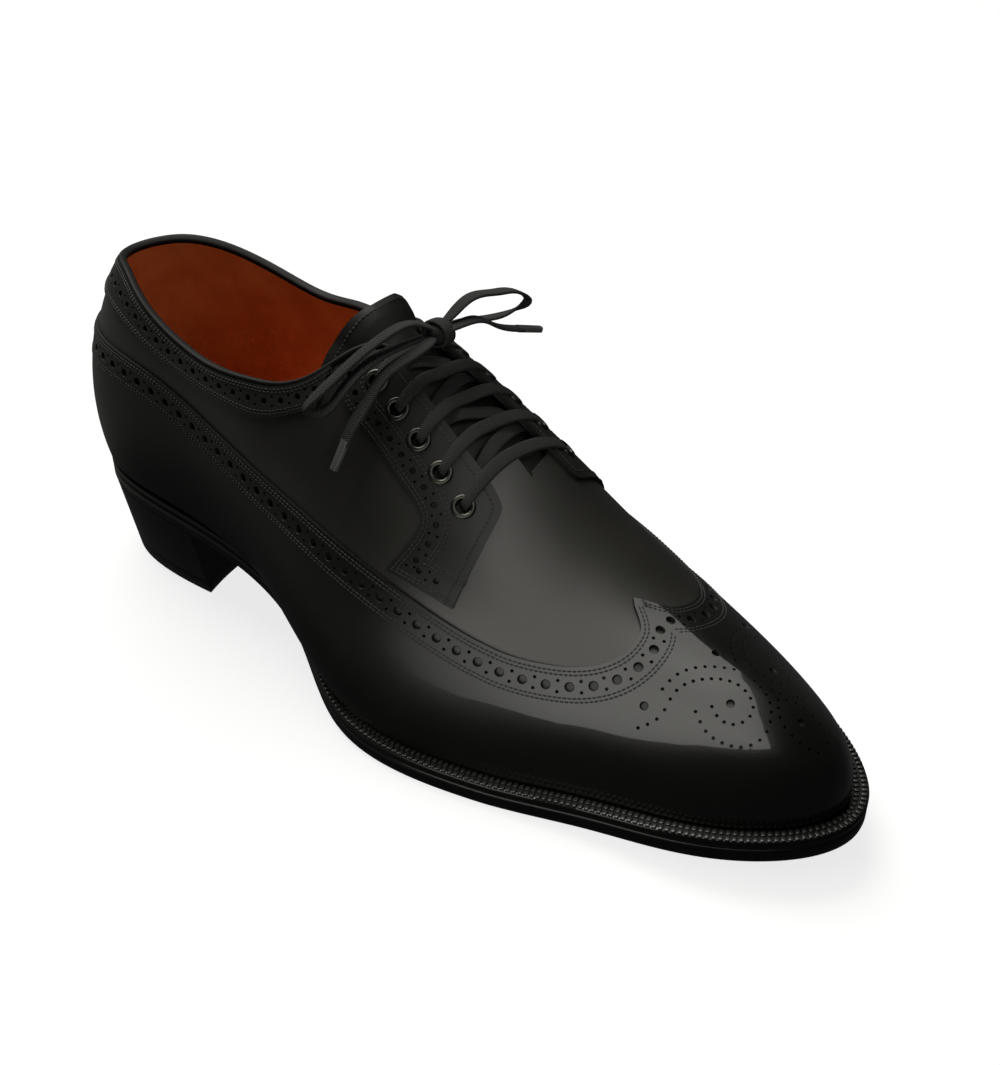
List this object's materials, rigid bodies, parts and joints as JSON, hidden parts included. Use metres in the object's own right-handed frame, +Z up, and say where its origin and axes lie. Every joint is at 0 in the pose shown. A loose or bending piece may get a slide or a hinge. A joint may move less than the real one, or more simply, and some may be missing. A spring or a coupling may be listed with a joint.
{
  "type": "wingtip shoe",
  "caption": "Long-wing brogue derby shoe in black calf with a stacked heel, a stitched welt, open facings with metal eyelets and a flat tied lace.",
  "frame": {"origin": "middle of the shoe's box, on the floor it stands on", "axes": "+X to the toe, +Y to the outer side of the left foot, +Z up"},
  "size_m": [0.3011, 0.1117, 0.1262],
  "materials": {
    "calf": "polished black calf, brightest at the toe",
    "sole": "black dyed and burnished leather edge",
    "lining": "plain tan lining leather",
    "lace": "flat woven waxed cotton",
    "eyelet": "dark gunmetal"
  },
  "bodies": {
    "root": {"upper": "calf", "wing_cap": "calf", "collar_band": "calf", "facing_inner": "calf", "facing_outer": "calf", "tongue": "calf", "outsole": "sole", "welt": "sole", "heel": "sole", "insole": "lining", "eyelet_inner_1": "eyelet", "eyelet_inner_2": "eyelet", "eyelet_inner_3": "eyelet", "eyelet_inner_4": "eyelet", "eyelet_inner_5": "eyelet", "eyelet_outer_1": "eyelet", "eyelet_outer_2": "eyelet", "eyelet_outer_3": "eyelet", "eyelet_outer_4": "eyelet", "eyelet_outer_5": "eyelet", "lace_bar_1": "lace", "lace_bar_2": "lace", "lace_bar_3": "lace", "lace_bar_4": "lace", "lace_bar_5": "lace", "lace_knot": "lace", "lace_loop_inner": "lace", "lace_loop_outer": "lace", "lace_end_inner": "lace", "lace_end_outer": "lace"}
  },
  "joints": []
}
